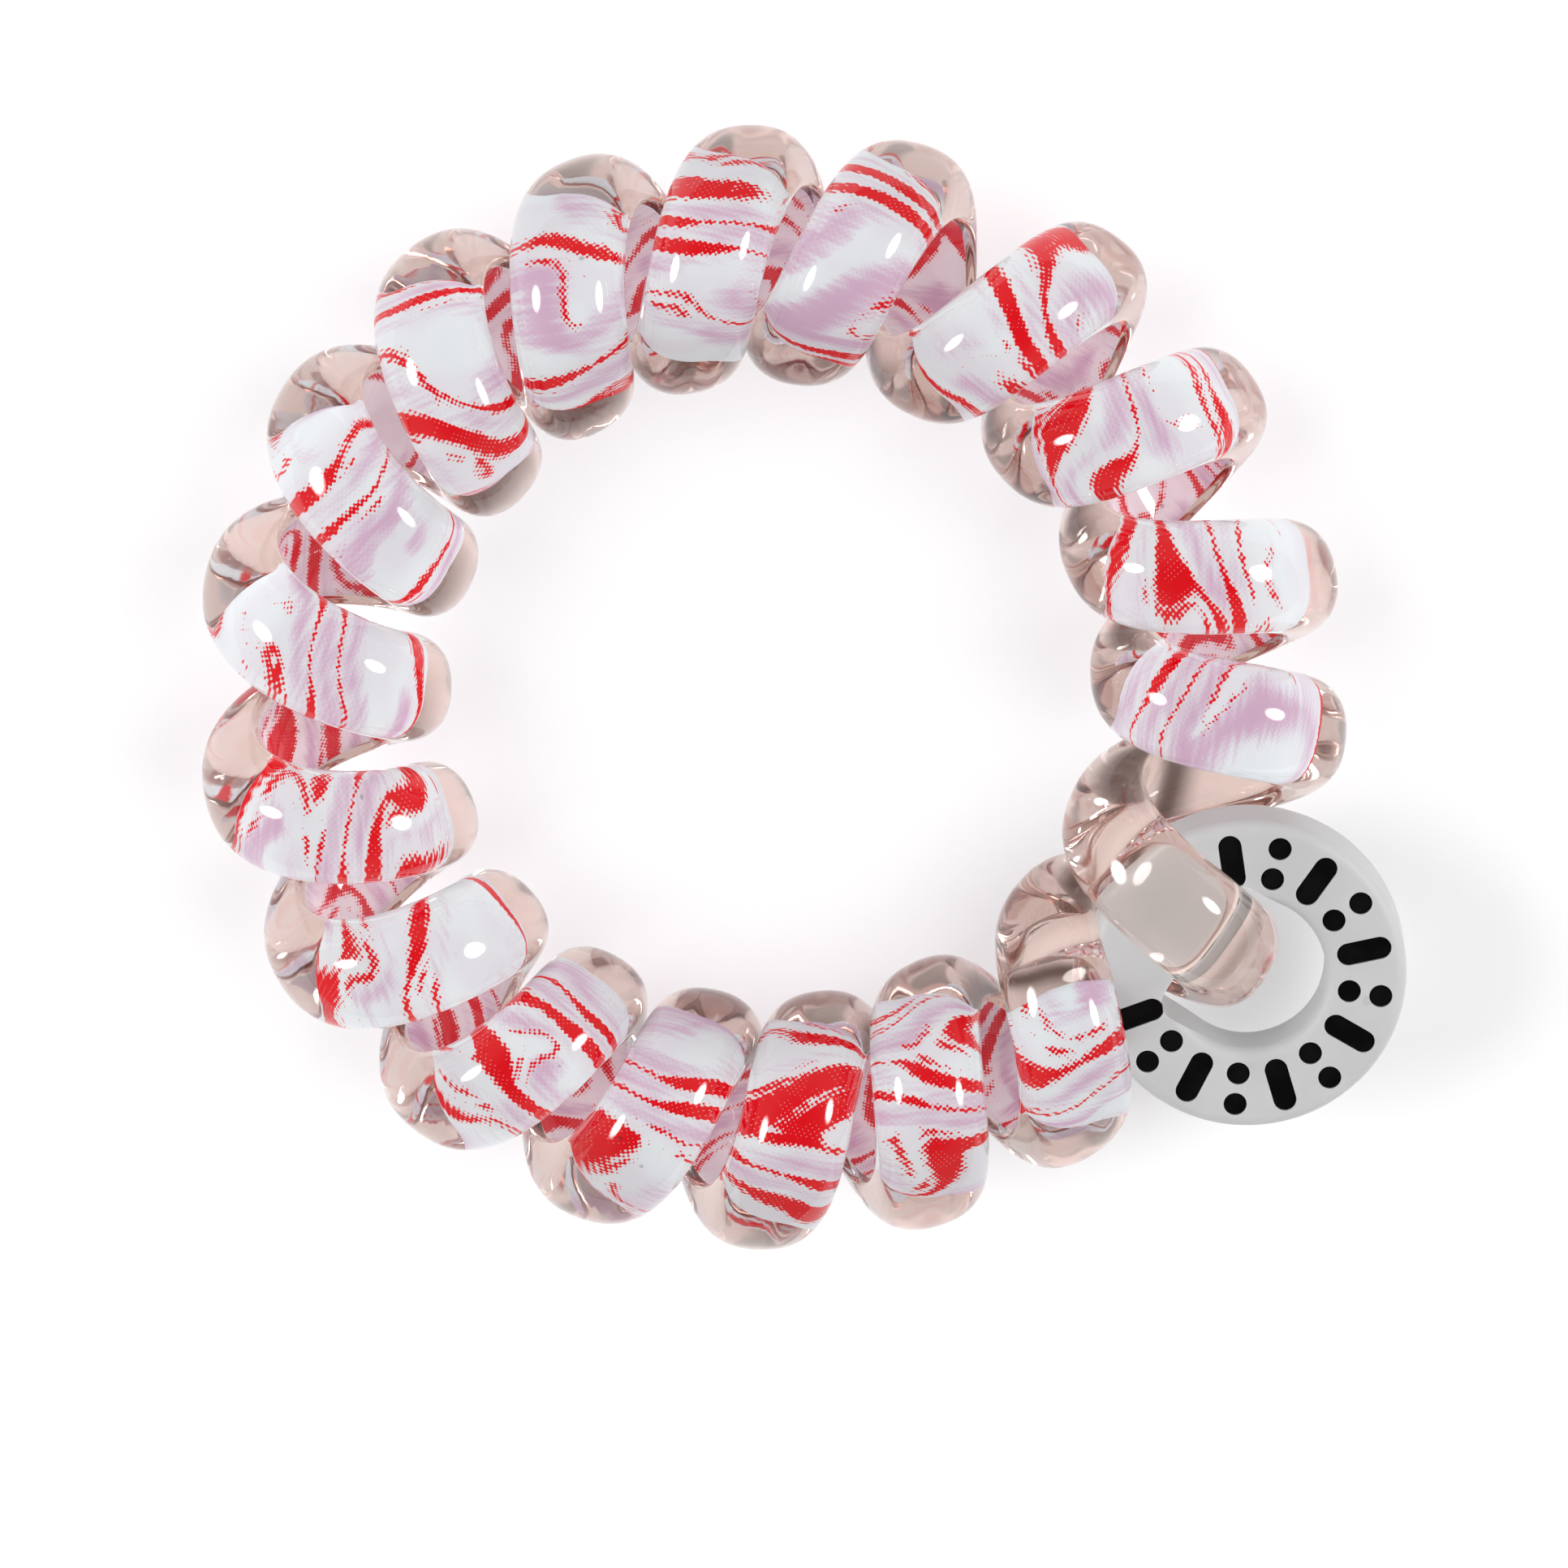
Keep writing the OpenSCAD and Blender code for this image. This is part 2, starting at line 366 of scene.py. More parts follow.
class Groups:
    """The effects that several materials share, each one node group that is built once."""

    HEIGHT_SHARES = (0.6, 0.4)
    PATCH_EDGES = (0.35, 0.65)
    LEAST_SPECK = 0.05
    SPECK_SPREAD = 0.16

    def __init__(self) -> None:
        """Starts with no group built."""
        self._built: dict[str, bpy.types.NodeTree] = {}

    def place(self, tree: Tree, name: str, inputs: dict) -> bpy.types.Node:
        """Puts a group into a tree, and builds it if it is new.

        Args:
            tree: The tree that takes the group.
            name: The name of one of this class's group methods.
            inputs: Values or sockets for the group's inputs, by name.

        Returns:
            The group node.
        """
        if name not in self._built:
            self._built[name] = getattr(self, name)()
        return tree.add("ShaderNodeGroup", inputs, node_tree=self._built[name])

    @staticmethod
    def _new(name: str, inputs: dict, outputs: tuple) -> tuple:
        """Makes an empty group with its sockets.

        Args:
            name: The group's name.
            inputs: The kind of each input socket, by name.
            outputs: The names of its output sockets, which are numbers.

        Returns:
            The group's Tree, its input node and its output node.
        """
        tree = bpy.data.node_groups.new(name, "ShaderNodeTree")
        for key, kind in inputs.items():
            tree.interface.new_socket(name=key, in_out="INPUT", socket_type="NodeSocket" + kind)
        for key in outputs:
            tree.interface.new_socket(name=key, in_out="OUTPUT", socket_type="NodeSocketFloat")
        return Tree(tree), tree.nodes.new("NodeGroupInput"), tree.nodes.new("NodeGroupOutput")

    def halftone(self) -> bpy.types.NodeTree:
        """Builds a screen of staggered dots: the cosine along times the cosine across, from -1 to 1.

        Returns:
            The group, with the dots' spacing along and across as inputs.
        """
        inputs = {"Place": "Vector", "Along": "Float", "Across": "Float"}
        t, given, made = self._new("halftone", inputs, ("Screen",))
        x, y, _ = t.parts(given.outputs["Place"])
        waves = [
            t.math("COSINE", t.times(t.math("DIVIDE", value, given.outputs[key]), 2 * math.pi))
            for value, key in ((x, "Along"), (y, "Across"))
        ]
        t.join(t.times(*waves), made.inputs[0])
        return t.tree

    def grain(self) -> bpy.types.NodeTree:
        """Builds a fine uneven surface: a broad and a fine noise as one height, and the broad one's patches.

        Returns:
            The group, with the two noises' scales as inputs.
        """
        inputs = {"Place": "Vector", "Broad": "Float", "Fine": "Float"}
        t, given, made = self._new("grain", inputs, ("Height", "Patches"))
        place = given.outputs["Place"]
        broad = t.noise(place, given.outputs["Broad"], 3.0, space="3D").outputs[0]
        fine = t.noise(place, given.outputs["Fine"], 4.0, 0.6, "3D").outputs[0]
        height = t.total(*(t.times(part, share) for part, share in zip((broad, fine), self.HEIGHT_SHARES)))
        t.join(height, made.inputs[0])
        t.join(t.step(broad, *self.PATCH_EDGES), made.inputs[1])
        return t.tree

    def specks(self) -> bpy.types.NodeTree:
        """Builds a mask of sparse round specks: the cells of a Voronoi pattern, of which few hold a dot.

        Returns:
            The group, with the cells' scale and the share that holds a dot as inputs.
        """
        inputs = {"Place": "Vector", "Scale": "Float", "Share": "Float"}
        t, given, made = self._new("specks", inputs, ("Mask",))
        place, scale, share = (given.outputs[key] for key in inputs)
        cells = t.add("ShaderNodeTexVoronoi", {"Vector": place, "Scale": scale})
        colour = t.add("ShaderNodeSeparateColor", {0: cells.outputs["Color"]})
        chosen = t.math("LESS_THAN", colour.outputs[0], share)
        size = t.total(t.times(colour.outputs[1], self.SPECK_SPREAD), self.LEAST_SPECK)
        dot = t.math("LESS_THAN", cells.outputs["Distance"], size)
        t.join(t.times(chosen, dot), made.inputs[0])
        return t.tree

    def swirl(self) -> bpy.types.NodeTree:
        """Builds the print from the swirl pattern and its halftone screen.

        Returns:
            The group, with the masks of the red ink and the lilac wash as outputs.
        """
        t, given, made = self._new("swirl", {"Place": "Vector"}, ("Red", "Lilac"))
        place, pattern = given.outputs["Place"], SwirlPattern()
        along, across = pattern.dots
        screen = self.place(t, "halftone", {"Place": place, "Along": along, "Across": across}).outputs[0]
        for mask, target in zip(pattern.masks(t, place, screen), made.inputs):
            t.join(mask, target)
        return t.tree


GROUPS = Groups()


def new_material(name: str) -> tuple:
    """Makes an empty node material.

    Args:
        name: The material's name.

    Returns:
        The material, its Tree and its output node.
    """
    material = bpy.data.materials.new(name)
    material.use_nodes = True
    material.node_tree.nodes.clear()
    t = Tree(material.node_tree)
    return material, t, t.add("ShaderNodeOutputMaterial")


@dataclass(frozen=True)
class ClearElastomer:
    """Clear, slightly pink elastomer with fine lines along the strand from its forming."""

    colour: Colour = SHADES.clear
    faint: Colour = SHADES.faint
    caught: Colour = SHADES.caught
    ior: float = 1.56
    roughness: float = 0.03
    rough_swing: Ramp = (0.3, 0.7, 0.7, 1.4)
    line_stretch: Triple = (0.06, 2.2, 1.0)
    line_height: float = 0.16
    ripple_scale: float = 0.35
    relief_share: float = 0.10
    relief: float = 0.06 * MM
    bends: int = 5

    def material(self) -> bpy.types.Material:
        """Makes the strand's material.

        It bends the rays that the eye sees. Light on its way to other surfaces,
        and light that has been bent too often inside, goes straight through.

        Returns:
            The material.
        """
        material, t, output = new_material("clear_elastomer")
        uv = t.add("ShaderNodeUVMap", uv_map="UVMap").outputs[0]
        lines = t.noise(t.vector("MULTIPLY", uv, self.line_stretch), 1.0, 1.0).outputs[0]
        ripple = t.noise(uv, self.ripple_scale).outputs[0]
        relief = t.total(t.times(lines, self.line_height), ripple)
        low, high, least, most = self.rough_swing
        shader = t.add("ShaderNodeBsdfPrincipled", {
            "Base Color": self.colour,
            "Roughness": t.step(ripple, low, high, self.roughness * least, self.roughness * most),
            "IOR": self.ior,
            "Transmission Weight": 1.0,
            "Normal": t.bump(relief, self.relief_share, self.relief),
        })
        path = t.add("ShaderNodeLightPath")
        trapped = t.math("GREATER_THAN", path.outputs["Ray Depth"], self.bends + 0.5)
        open_way = t.add("ShaderNodeBsdfTransparent", {0: t.mix(trapped, self.faint, self.caught)})
        straight = t.math("MAXIMUM", path.outputs["Is Shadow Ray"], path.outputs["Is Diffuse Ray"])
        straight = t.math("MAXIMUM", straight, trapped)
        t.join(t.blend(straight, shader, open_way).outputs[0], output.inputs[0])
        return material


@dataclass(frozen=True)
class SwirlPrint:
    """White film with the red and lilac swirl, as seen through the dome or, duller, from the coil's hollow, where
    the ground is painted lighter as painted light and the pink tint is partly a painted reflection.
    """

    facing: Facing
    passed: Colour = SHADES.passed
    roughness: float = 0.55
    translucency: float = 0.45
    hollow_gain: float = 1.2
    hollow_blush: float = 0.12
    cloud_scale: float = 0.5
    cloud_edges: Pair = (0.35, 0.65)
    cloud: float = 0.1
    wash: float = 0.72
    speck_scale: float = 1.9
    speck_share: float = 0.045
    speck: float = 0.35

    def material(self) -> bpy.types.Material:
        """Makes the film's material for its facing.

        The film is matt and translucent. Part of the light on its way to other
        surfaces goes straight through it.

        Returns:
            The material.
        """
        material, t, output = new_material(f"swirl_print_{self.facing.value}")
        uv = t.add("ShaderNodeUVMap", uv_map="UVMap").outputs[0]
        swirl = GROUPS.place(t, "swirl", {"Place": uv})
        clouds = t.step(t.noise(uv, self.cloud_scale, 1.0).outputs[0], *self.cloud_edges)
        speck_inputs = {"Place": uv, "Scale": self.speck_scale, "Share": self.speck_share}
        specks = GROUPS.place(t, "specks", speck_inputs).outputs[0]
        on_dome = self.facing is Facing.DOME
        # On the hollow face the ground is painted lighter: painted light inside the coil's hollow.
        ground = t.mix(t.times(clouds, self.cloud), SHADES.ground if on_dome else SHADES.reverse, SHADES.lilac)
        tinted = t.mix(t.times(swirl.outputs["Lilac"], self.wash), ground, SHADES.lilac)
        colour = t.mix(swirl.outputs["Red"], tinted, SHADES.red)
        colour = t.mix(t.times(specks, self.speck), colour, SHADES.ink)
        # The hollow's pink tint is partly the print seen from behind through the film and partly a painted pink
        # reflection.
        if not on_dome:
            colour = t.mix(self.hollow_blush, colour, SHADES.blush)
        shader = t.add("ShaderNodeBsdfPrincipled", {
            "Base Color": colour,
            "Roughness": self.roughness,
            "Specular IOR Level": 0.0,
        })
        through = t.add("ShaderNodeBsdfTranslucent", {"Color": colour})
        share = self.translucency if on_dome else self.hollow_gain * self.translucency
        passed = t.add("ShaderNodeBsdfTransparent", {0: self.passed})
        shadow = t.add("ShaderNodeLightPath").outputs["Is Shadow Ray"]
        mixed = t.blend(shadow, t.blend(share, shader, through), passed)
        t.join(mixed.outputs[0], output.inputs[0])
        return material


@dataclass(frozen=True)
class MouldedTag:
    """Satin white moulded plastic with a fine spark-eroded grain."""

    colour: Colour = SHADES.tag
    broad: float = 260.0
    fine: float = 5200.0
    worn: float = 0.12
    speck_scale: float = 900.0
    speck_share: float = 0.05
    speck: float = 0.25
    roughness: Pair = (0.46, 0.56)
    glow: float = 0.25
    glow_radius: Triple = (1.0, 0.95, 0.9)
    glow_depth: float = 0.6 * MM
    relief_share: float = 0.25
    relief: float = 0.03 * MM

    def material(self) -> bpy.types.Material:
        """Makes the tag ring's material.

        Returns:
            The material.
        """
        material, t, output = new_material("moulded_tag")
        place = t.add("ShaderNodeTexCoord").outputs["Object"]
        grain = GROUPS.place(t, "grain", {"Place": place, "Broad": self.broad, "Fine": self.fine})
        speck_inputs = {"Place": place, "Scale": self.speck_scale, "Share": self.speck_share}
        specks = GROUPS.place(t, "specks", speck_inputs).outputs[0]
        patches = grain.outputs["Patches"]
        worn = t.mix(t.times(patches, self.worn), self.colour, SHADES.tag_worn)
        shader = t.add("ShaderNodeBsdfPrincipled", {
            "Base Color": t.mix(t.times(specks, self.speck), worn, SHADES.tag_speck),
            "Roughness": t.step(patches, 0.0, 1.0, *self.roughness),
            "Subsurface Weight": self.glow,
            "Subsurface Radius": self.glow_radius,
            "Subsurface Scale": self.glow_depth,
            "Normal": t.bump(grain.outputs["Height"], self.relief_share, self.relief),
        })
        t.join(shader.outputs[0], output.inputs[0])
        return material


@dataclass(frozen=True)
class MarkInk:
    """Matt black filling of the marks, slightly worn."""

    colour: Colour = SHADES.ink
    broad: float = 700.0
    fine: float = 7000.0
    worn: float = 0.3
    roughness: Pair = (0.42, 0.6)
    specular: float = 0.05
    relief_share: float = 0.3
    relief: float = 0.03 * MM

    def material(self) -> bpy.types.Material:
        """Makes the marks' material.

        Returns:
            The material.
        """
        material, t, output = new_material("mark_ink")
        place = t.add("ShaderNodeTexCoord").outputs["Object"]
        grain = GROUPS.place(t, "grain", {"Place": place, "Broad": self.broad, "Fine": self.fine})
        patches = grain.outputs["Patches"]
        shader = t.add("ShaderNodeBsdfPrincipled", {
            "Base Color": t.mix(t.times(patches, self.worn), self.colour, SHADES.ink_worn),
            "Roughness": t.step(patches, 0.0, 1.0, *self.roughness),
            "Specular IOR Level": self.specular,
            "Normal": t.bump(grain.outputs["Height"], self.relief_share, self.relief),
        })
        t.join(shader.outputs[0], output.inputs[0])
        return material


@dataclass(frozen=True)
class PaleFloor:
    """Matt white paper, with painted shade where it is seen through the strand. Lengths are in metres."""

    centre: Vector
    ring_r: float
    colour: Colour = SHADES.floor
    fibre_scale: float = 900.0
    fibres: Ramp = (0.3, 0.7, 0.0, 0.2)
    shade_inset: float = 1.75 * MM
    shade_edges: Pair = (0.1 * MM, 2.0 * MM)

    def material(self) -> bpy.types.Material:
        """Makes the floor's material.

        Rays that the strand has bent see it with painted shade, darker and warmer,
        with a painted shadow in a soft ring under the coil, a little inside the middle line of its turns.

        Returns:
            The material.
        """
        material, t, output = new_material("pale_floor")
        place = t.add("ShaderNodeTexCoord").outputs["Object"]
        fibres = t.step(t.noise(place, self.fibre_scale, 1.0).outputs[0], *self.fibres)
        paper = t.mix(fibres, self.colour, SHADES.floor_fibre)
        level = t.vector("MULTIPLY", place, (1.0, 1.0, 0.0))
        radius = t.measure("DISTANCE", level, (self.centre.x, self.centre.y, 0.0))
        away = t.math("ABSOLUTE", t.math("SUBTRACT", radius, self.ring_r - self.shade_inset))
        # Painted shade for rays bent by the strand, with a painted shadow in a soft ring under the coil.
        shaded_table = t.mix(t.step(away, *self.shade_edges), SHADES.under, SHADES.shaded_table)
        bent = t.add("ShaderNodeLightPath").outputs["Is Transmission Ray"]
        shader = t.add("ShaderNodeBsdfDiffuse", {"Color": t.mix(bent, paper, shaded_table)})
        t.join(shader.outputs[0], output.inputs[0])
        return material


def grid_piece(
    name: str, points: np.ndarray, uv: np.ndarray, loop_rows: bool, flat_ends: bool = False
) -> bpy.types.Object:
    """Makes a piece from a grid of points whose sides close on themselves.

    Each grid cell is one four-sided face. The faces are turned round if the
    volume that they enclose comes out below 0, so that they point outwards.

    Args:
        name: The piece's name.
        points: Rows of points, as rows by sides by 3, in metres.
        uv: The UV places, as (rows or rows + 1) by (sides + 1) by 2.
        loop_rows: True if the last row joins the first.
        flat_ends: True if the first and last rows are closed by a face each.

    Returns:
        The new object, linked to the scene, with smooth faces that point outwards.
    """
    rows, sides = points.shape[:2]
    r, s = np.meshgrid(np.arange(rows if loop_rows else rows - 1), np.arange(sides), indexing="ij")
    corners = [(r, s), (r, s + 1), (r + 1, s + 1), (r + 1, s)]
    faces = np.stack([(a % rows) * sides + b % sides for a, b in corners], -1).reshape(-1, 4)
    places = np.stack([uv[a, b] for a, b in corners], -2).reshape(-1, 4, 2)
    flat = points.reshape(-1, 3)
    a, b, c, d = (flat[faces[:, i]] for i in range(4))
    inwards = np.einsum("ij,ij->", a, np.cross(b, c) + np.cross(c, d)) < 0
    if inwards:
        faces, places = faces[:, ::-1], places[:, ::-1]
    indices, starts = faces.ravel(), np.arange(len(faces)) * 4
    loops_uv = places.reshape(-1, 2)
    if flat_ends:
        first, last = np.arange(sides), (rows - 1) * sides + np.arange(sides)
        ends = (first, last[::-1]) if inwards else (first[::-1], last)
        starts = np.append(starts, [len(indices), len(indices) + sides])
        loops_uv = np.concatenate([loops_uv, np.tile(uv[0, :1], (sides, 1)), np.tile(uv[-1, :1], (sides, 1))])
        indices = np.concatenate([indices, *ends])
    mesh = bpy.data.meshes.new(name)
    mesh.vertices.add(len(flat))
    mesh.vertices.foreach_set("co", flat.astype(np.float32).ravel())
    mesh.loops.add(len(indices))
    mesh.loops.foreach_set("vertex_index", indices.astype(np.int32))
    mesh.polygons.add(len(starts))
    mesh.polygons.foreach_set("loop_start", starts.astype(np.int32))
    mesh.polygons.foreach_set("use_smooth", np.ones(len(starts), bool))
    mesh.uv_layers.new(name="UVMap").data.foreach_set("uv", loops_uv.astype(np.float32).ravel())
    mesh.update(calc_edges=True)
    mesh.validate()
    piece = bpy.data.objects.new(name, mesh)
    bpy.context.scene.collection.objects.link(piece)
    return piece


@dataclass(frozen=True)
class Coil:
    """The way that the strand takes: endless turns wound left-handed round a ring. Lengths are in metres."""

    rows: tuple = TURN_ROWS
    outer_d: float = 11.2 * MM
    turn_gap: float = 0.15 * MM
    strand_w: float = 5.0 * MM
    strand_t: float = 2.85 * MM
    inner_slim: float = 0.04
    widest: float = 0.2
    frame_across: tuple = (0.15, 0.36, 0.475, 0.5)
    frame_out: tuple = (1.0, 0.82, 0.52, 0.2)
    frame_rings: int = 20

    @property
    def turns(self) -> int:
        """The number of turns."""
        return len(self.rows)

    @property
    def mid_z(self) -> float:
        """The height of the ring's middle."""
        return self.outer_d / 2

    @property
    def flat_r(self) -> float:
        """The radius of the strand's flat side round the coil's own axis."""
        return self.outer_d / 2 - self.strand_t

    @property
    def belly_r(self) -> float:
        """The radius of the strand's middle round the coil's own axis."""
        return self.outer_d / 2 - self.strand_t / 2

    @property
    def ring_r(self) -> float:
        """The ring's radius, at which the closest turns leave the gap between them on the inner side.

        Returns:
            The arc that a slanting turn takes up, over the smallest angle between
            two turns, from the ring's inner side out to its middle line.
        """
        inner = np.array(self.rows)[:, 1]
        step = math.radians(np.diff(np.append(inner, inner[0] + 360)).min())
        wide_r = self.flat_r + self.widest * self.strand_t
        packed = self.strand_w * (1 - self.inner_slim) + self.turn_gap
        return packed / math.sqrt(1 - (packed / (2 * math.pi * wide_r)) ** 2) / step + wide_r

    def ring_angle(self, u: np.ndarray) -> np.ndarray:
        """The angle round the ring: a smooth cubic through the rows' outer and inner angles.

        Args:
            u: Turns along the strand.

        Returns:
            The angles in radians.
        """
        knots = np.array(self.rows).ravel()
        count = len(knots)
        j = np.floor(2 * u).astype(int)
        f = 2 * u - j
        a, b, c, d = (knots[(j + k) % count] + 360 * ((j + k) // count) for k in (-1, 0, 1, 2))
        bend = a - 2.5 * b + 2 * c - d / 2 + f * (1.5 * (b - c) + (d - a) / 2)
        return np.radians(b + f * ((c - a) / 2 + f * bend))

    def surface(self, u: np.ndarray, across: np.ndarray, out: np.ndarray) -> np.ndarray:
        """Points of the strand, before they are set on the frame.

        A point goes from the ring's middle line outwards round the coil by the
        flat side's radius plus out, and then across the strand, at right angles
        to its travel.

        Args:
            u: Turns along the strand, one for each row.
            across: Lengths across the strand, as rows by sides or one row.
            out: Lengths out from the flat side, as rows by sides or one row.

        Returns:
            The points, as rows by sides by 3.
        """
        turn, step = 2 * np.pi * u, 0.01
        angle = self.ring_angle(u)
        slope = (self.ring_angle(u + step) - self.ring_angle(u - step)) / (2 * step)
        zero, up = np.zeros_like(u), np.array([0.0, 0.0, 1.0])
        radial = np.stack([np.sin(angle), np.cos(angle), zero], -1)
        along = np.stack([np.cos(angle), -np.sin(angle), zero], -1)
        cos, sin = np.cos(turn)[:, None], np.sin(turn)[:, None]
        outwards = cos * radial - sin * up
        onwards = -sin * radial - cos * up
        travel = slope[:, None] * (self.ring_r + self.belly_r * cos) * along + 2 * np.pi * self.belly_r * onwards
        sideways = np.cross(travel, outwards)
        sideways *= (1 - self.inner_slim * (1 - cos) / 2) / np.linalg.norm(sideways, axis=1, keepdims=True)
        across, out = np.broadcast_arrays(np.atleast_2d(across), np.atleast_2d(out))
        middle = self.ring_r * radial + self.mid_z * up
        return (
            middle[:, None]
            + (self.flat_r + out)[..., None] * outwards[:, None]
            + across[..., None] * sideways[:, None]
        )

    def shift(self) -> np.ndarray:
        """The way from the coil's own origin to where the frame's strand lies.

        Returns:
            The middle of the frame's box, less the middle of the box of the same
            rings and section points worked out here.
        """
        low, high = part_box("clear_strand")
        across = np.array(self.frame_across) * self.strand_w
        out = np.array(self.frame_out) * self.strand_t
        u = np.arange(self.turns * self.frame_rings) / self.frame_rings
        own = self.surface(u, np.append(across, -across), np.append(out, out)).reshape(-1, 3)
        middle = (own.min(0) + own.max(0)) / 2
        return np.array([(low.x + high.x) / 2 - middle[0], (low.y + high.y) / 2 - middle[1], 0.0])


@dataclass
class ClearStrand:
    """The clear strand: a domed section with a flat inner side, carried once round all the turns.

    The cover's places are in turns along the strand, and the other lengths in metres.
    """

    coil: Coil
    finish: ClearElastomer = field(default_factory=ClearElastomer)
    rings_per_turn: int = 72
    dome_points: int = 26
    base_points: int = 18
    dome_power: float = 2.3
    base_power: float = 5.0
    cover: float = 0.10 * MM
    cover_from: float = 11.62
    cover_to: float = 28.05
    cover_ramp: float = 0.07

    def section(self) -> np.ndarray:
        """The section's half ellipses of higher power: the dome over its widest line and the flat base under it.

        Returns:
            Points as shares of the width across and of the dome's or base's height out.
        """
        dome = np.linspace(0, np.pi, self.dome_points, endpoint=False)
        base = np.linspace(np.pi, 2 * np.pi, self.base_points, endpoint=False)
        turn = np.append(dome, base)
        power = 2 / np.where(turn < np.pi, self.dome_power, self.base_power)
        cos, sin = np.cos(turn), np.sin(turn)
        return np.stack([np.sign(cos) * np.abs(cos) ** power / 2, np.sign(sin) * np.abs(sin) ** power], -1)

    def cover_at(self, u: np.ndarray) -> np.ndarray:
        """How far the flat side lies below the frame's own, where it covers the film: a smooth step at each end.

        Args:
            u: Turns along the strand, one for each ring.

        Returns:
            The cover's depth at each ring.
        """
        lap = np.where(u < self.cover_from - self.cover_ramp, u + self.coil.turns, u)
        rise = np.clip((lap - self.cover_from) / self.cover_ramp, 0, 1)
        fall = np.clip((self.cover_to - lap) / self.cover_ramp, 0, 1)
        share = np.minimum(rise, fall)
        return self.cover * share * share * (3 - 2 * share)

    def build(self, shift: np.ndarray) -> bpy.types.Object:
        """Makes the strand's piece, with its UV places in millimetres along and round it.

        Args:
            shift: The way from the coil's origin to its place on the frame.

        Returns:
            The piece, dressed.
        """
        coil = self.coil
        u = np.arange(coil.turns * self.rings_per_turn) / self.rings_per_turn
        shape = self.section()
        wide = coil.widest * coil.strand_t
        base = wide + self.cover_at(u)[:, None]
        out = wide + np.where(shape[:, 1] > 0, shape[:, 1] * (coil.strand_t - wide), shape[:, 1] * base)
        points = coil.surface(u, shape[:, 0] * coil.strand_w, out) + shift
        ring = np.append(points, points[:1], 0)
        length = np.linalg.norm(np.diff(ring.mean(1), axis=0), axis=1)
        girth = np.linalg.norm(np.diff(np.append(points[0], points[0, :1], 0), axis=0), axis=1)
        places = np.meshgrid(np.append(0, length.cumsum()), np.append(0, girth.cumsum()), indexing="ij")
        piece = grid_piece("strand_clear", points, np.stack(places, -1) / MM, loop_rows=True)
        piece.data.materials.append(self.finish.material())
        return piece


@dataclass
class PrintFilm:
    """The printed film inside the strand, a long strip on its flat side.

    Its start and end are in turns along the strand, and the other lengths in metres.
    """

    coil: Coil
    dome_finish: SwirlPrint = field(default_factory=lambda: SwirlPrint(Facing.DOME))
    hollow_finish: SwirlPrint = field(default_factory=lambda: SwirlPrint(Facing.HOLLOW))
    width: float = 4.0 * MM
    top: float = 0.03 * MM
    thickness: float = 0.08 * MM
    start: float = 11.66
    end: float = 28.03
    end_round: float = 1.1 * MM
    tip: float = 0.02
    rows_per_turn: int = 72
    columns: int = 7

    def build(self, shift: np.ndarray) -> bpy.types.Object:
        """Makes the film's piece, whose sides go across its outer face and back across its inner one.

        Each end is rounded: the width there is the square root of 1 less the
        square of the share of the end's radius that is left.

        Args:
            shift: The way from the coil's origin to its place on the frame.

        Returns:
            The piece, dressed on both faces.
        """
        coil = self.coil
        rows = int((self.end - self.start) * self.rows_per_turn)
        u = np.linspace(self.start, self.end, rows)
        line = coil.surface(u, np.zeros(1), np.zeros(1))[:, 0]
        length = np.append(0, np.linalg.norm(np.diff(line, axis=0), axis=1).cumsum())
        gone = np.clip(np.minimum(length, length[-1] - length) / self.end_round, self.tip, 1)
        share = np.sqrt(1 - (1 - gone) ** 2)[:, None]
        reach = np.linspace(-0.5, 0.5, self.columns) * self.width
        across = np.append(reach, reach[::-1])
        out = np.repeat([self.top, self.top - self.thickness], self.columns)
        points = coil.surface(u, across * share, out) + shift
        places = np.append(across, across[0]) * share
        uv = np.stack([np.broadcast_to(length[:, None], places.shape), places], -1) / MM
        piece = grid_piece("film_print", points, uv, loop_rows=False, flat_ends=True)
        for finish in (self.dome_finish, self.hollow_finish):
            piece.data.materials.append(finish.material())
        sides = np.tile(np.arange(2 * self.columns), rows - 1)
        inner = np.append((sides >= self.columns) & (sides < 2 * self.columns - 1), [False, False])
        piece.data.polygons.foreach_set("material_index", inner.astype(np.int32))
        return piece


@dataclass
class TagRing:
    """The white ring that is linked round one turn, with its black marks. Both keep the frame's own solids."""

    body_finish: MouldedTag = field(default_factory=MouldedTag)
    mark_finish: MarkInk = field(default_factory=MarkInk)

    def dress(self) -> None:
        """Gives the frame's two solids their finishes."""
        for name, finish in (("tag_ring", self.body_finish), ("tag_marks", self.mark_finish)):
            material = finish.material()
            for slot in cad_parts[name].material_slots:
                slot.material = material
            log.info("dressed %s", name)


